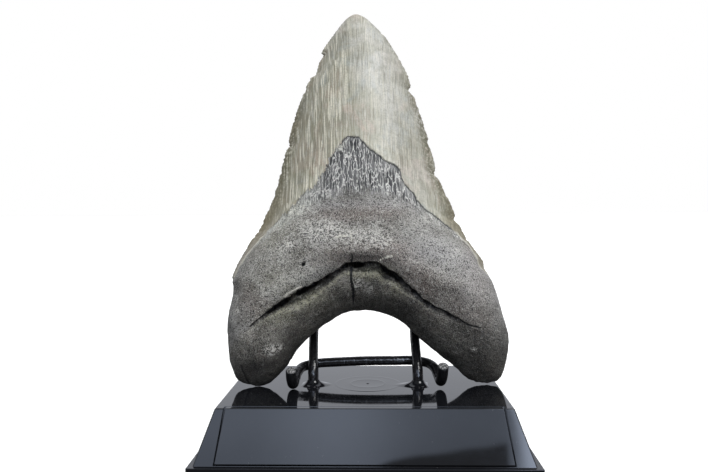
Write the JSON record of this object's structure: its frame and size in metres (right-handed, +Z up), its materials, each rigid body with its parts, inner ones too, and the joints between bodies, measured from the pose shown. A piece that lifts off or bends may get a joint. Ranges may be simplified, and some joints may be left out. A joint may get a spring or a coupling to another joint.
{
  "type": "megalodon tooth on a display stand",
  "caption": "Fossil shark tooth with a broad triangular crown and a two-lobed root, leaning on a wire easel over a sloped black plinth with a bare name plate.",
  "frame": {"origin": "centre of the stand's underside", "axes": "+Z up, +X to the viewer's right, -Y to the front: the name plate and the tooth's lingual face, with the dark chevron band, look towards -Y"},
  "size_m": [0.1118, 0.0812, 0.1662],
  "materials": {
    "fossil_tooth": "satin beige-grey enamel over a rough, dark grey, speckled root",
    "moulded_base": "glossy black",
    "name_plate": "bare, glossy black",
    "painted_wire": "black paint, glossy on the uprights and matte on the dipped ends"
  },
  "bodies": {
    "root": {"megalodon_tooth": "fossil_tooth", "stand_base": "moulded_base", "name_plate": "name_plate", "upright_left": "painted_wire", "upright_right": "painted_wire", "cradle_wire": "painted_wire"}
  },
  "joints": []
}
